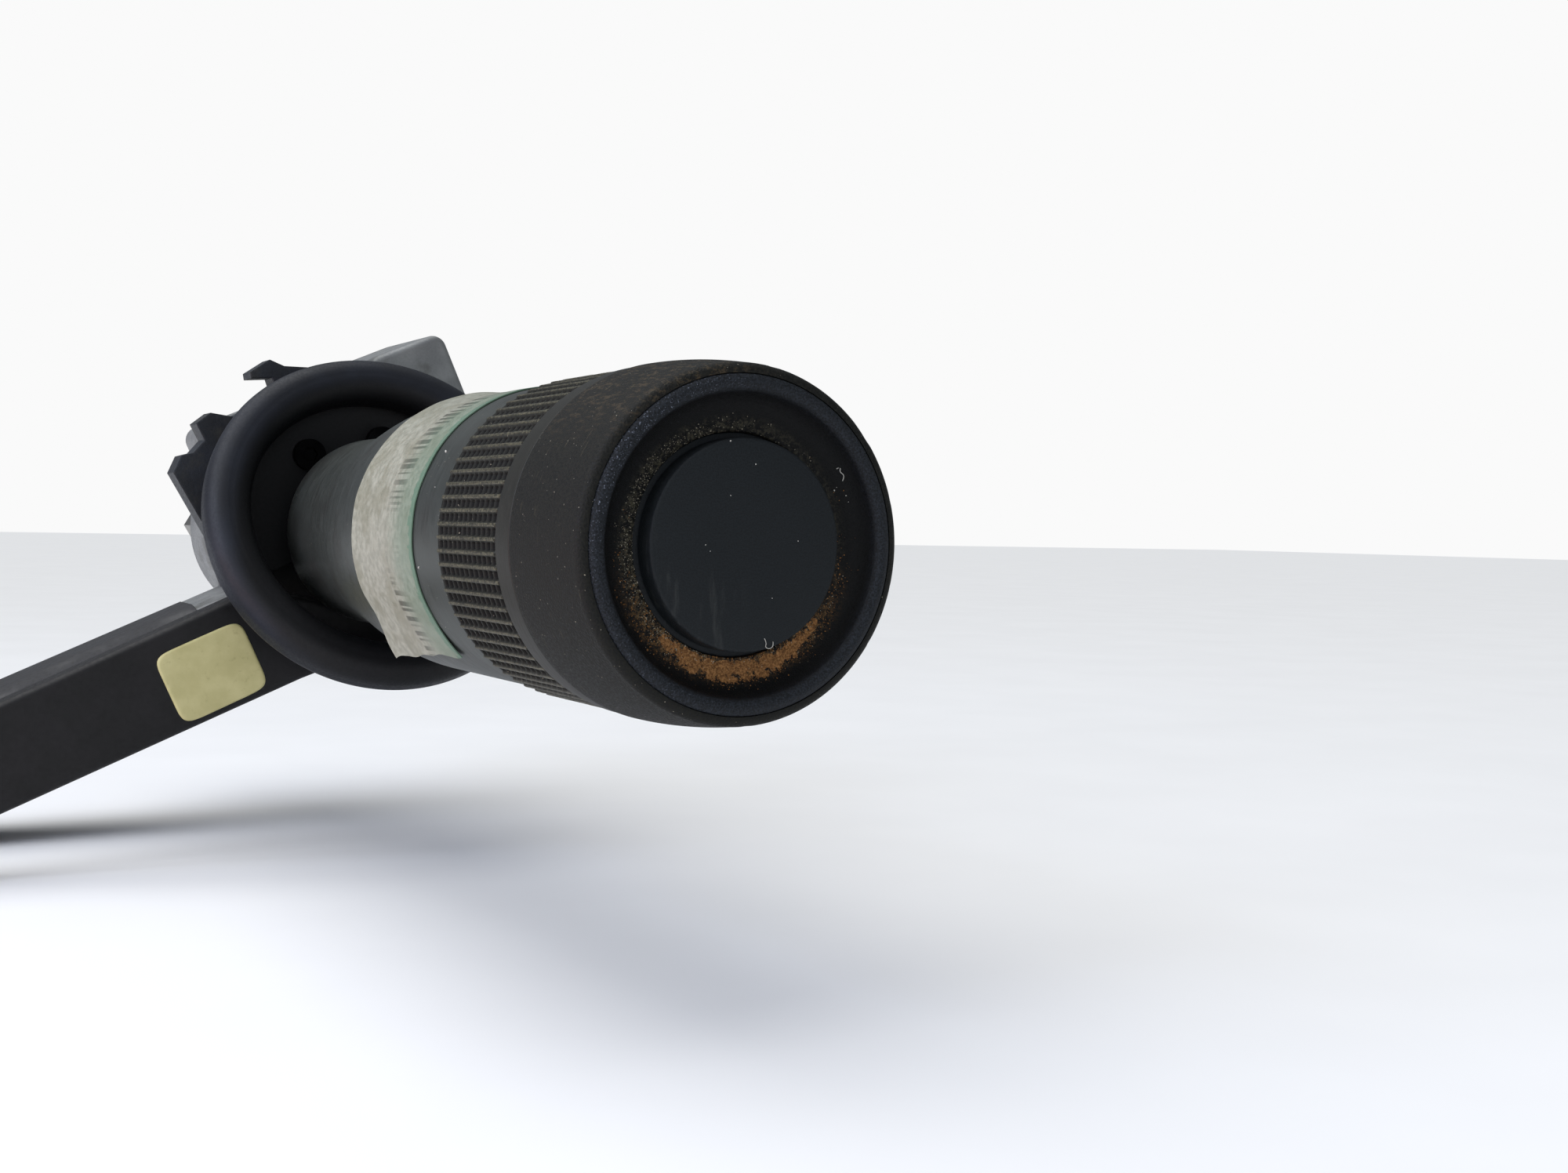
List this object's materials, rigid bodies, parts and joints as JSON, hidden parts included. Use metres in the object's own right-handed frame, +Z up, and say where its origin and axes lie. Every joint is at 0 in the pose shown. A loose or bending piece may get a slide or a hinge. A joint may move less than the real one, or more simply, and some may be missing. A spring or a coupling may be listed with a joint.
{
  "type": "fuel nozzle",
  "caption": "Straight dry-break fuel nozzle with a spring poppet in a dished nose, a knurled twist collar, a tilted guard ring, a side grip with squeeze lever and a swivel hose inlet.",
  "frame": {"origin": "centre of the poppet's outlet face, at the front of the nose", "axes": "+Y from the outlet face back along the barrel to the hose inlet, +Z up with the grip hanging down to the -X side"},
  "size_m": [0.1408, 0.248, 0.1021],
  "materials": {
    "nose_plastic": "moulded, fine pebble texture",
    "face_rubber": "moulded polyurethane, satin",
    "poppet_plastic": "moulded, matte",
    "lip_metal": "hard anodised, satin",
    "collar_metal": "hard anodised, knurled",
    "barrel_metal": "satin grey anodised",
    "nose_metal": "machined",
    "label_paper": "coated paper, worn",
    "guard_plastic": "moulded, smooth satin",
    "cast_metal": "die cast, blasted",
    "lug_metal": "satin, edges worn",
    "lever_metal": "powder coated black",
    "tag_plastic": "pale yellow vinyl",
    "grip_plastic": "moulded, textured",
    "brass": "machined",
    "bright_steel": "zinc plated",
    "spring_steel": "drawn wire",
    "seal_rubber": "nitrile",
    "swivel_metal": "nickel plated, turned"
  },
  "bodies": {
    "frame": {"nose_sleeve": "nose_plastic", "face_ring": "face_rubber", "lip_ring": "lip_metal", "barrel": "barrel_metal", "nose_body": "nose_metal", "poppet_guide": "nose_metal", "strainer": "nose_metal", "wrap_label": "label_paper", "guard_cowl": "guard_plastic", "rear_body": "cast_metal", "grip_end_cap": "cast_metal", "lug_plate": "lug_metal", "grip_front_shell": "grip_plastic", "grip_rear_shell": "grip_plastic", "gland_nut": "brass", "valve_seat": "brass", "valve_plug": "brass", "relief_cap": "brass", "lever_pin": "bright_steel", "relief_ball": "bright_steel", "cowl_screws": "bright_steel", "grip_screws": "bright_steel", "barrel_set_screws": "bright_steel", "lever_pin_clips": "bright_steel", "collar_retaining_ring": "bright_steel", "swivel_snap_ring": "bright_steel", "poppet_spring": "spring_steel", "valve_spring": "spring_steel", "relief_spring": "spring_steel", "nose_o_ring": "seal_rubber", "body_o_ring": "seal_rubber", "plug_o_ring": "seal_rubber", "swivel_o_ring": "seal_rubber", "stem_packing": "seal_rubber"},
    "poppet": {"poppet": "poppet_plastic", "poppet_o_ring": "seal_rubber", "poppet_stop_ring": "bright_steel"},
    "collar": {"knurled_collar": "collar_metal"},
    "lever": {"lever": "lever_metal", "lever_tag": "tag_plastic", "latch_pin": "bright_steel"},
    "latch": {"latch": "lever_metal"},
    "stem": {"valve_stem": "bright_steel", "valve_disc": "brass", "valve_disc_seal": "seal_rubber"},
    "inlet": {"inlet_swivel": "swivel_metal"}
  },
  "joints": [
    {"name": "poppet_slide", "type": "slide", "parent": "frame", "child": "poppet", "axis": [0, 1, 0], "range_m": [0, 0.007], "stiffness_N_per_m": 1500, "deforming": ["poppet_spring"]},
    {"name": "collar_turn", "type": "hinge", "parent": "frame", "child": "collar", "pos_m": [0, 0.035, 0], "axis": [0, 1, 0], "range_deg": [0, 60]},
    {"name": "lever_squeeze", "type": "hinge", "parent": "frame", "child": "lever", "pos_m": [0.0193, 0.1515, -0.00892], "axis": [0.4067, 0, -0.9135], "range_deg": [0, 11], "stiffness_Nm_per_rad": 4},
    {"name": "stem_slide", "type": "slide", "parent": "frame", "child": "stem", "axis": [0, 1, 0], "range_m": [0, 0.003], "deforming": ["valve_spring"]},
    {"name": "latch_swing", "type": "hinge", "parent": "lever", "child": "latch", "pos_m": [-0.0934, 0.1515, -0.0533], "axis": [0.4067, 0, -0.9135], "range_deg": [0, 20], "stiffness_Nm_per_rad": 0.05},
    {"name": "inlet_swivel", "type": "hinge", "parent": "frame", "child": "inlet", "pos_m": [0, 0.23, 0], "axis": [0, 1, 0], "continuous": true}
  ],
  "couplings": [
    {"joint": "stem_slide", "follows": "lever_squeeze", "m_per_rad": 0.015}
  ]
}
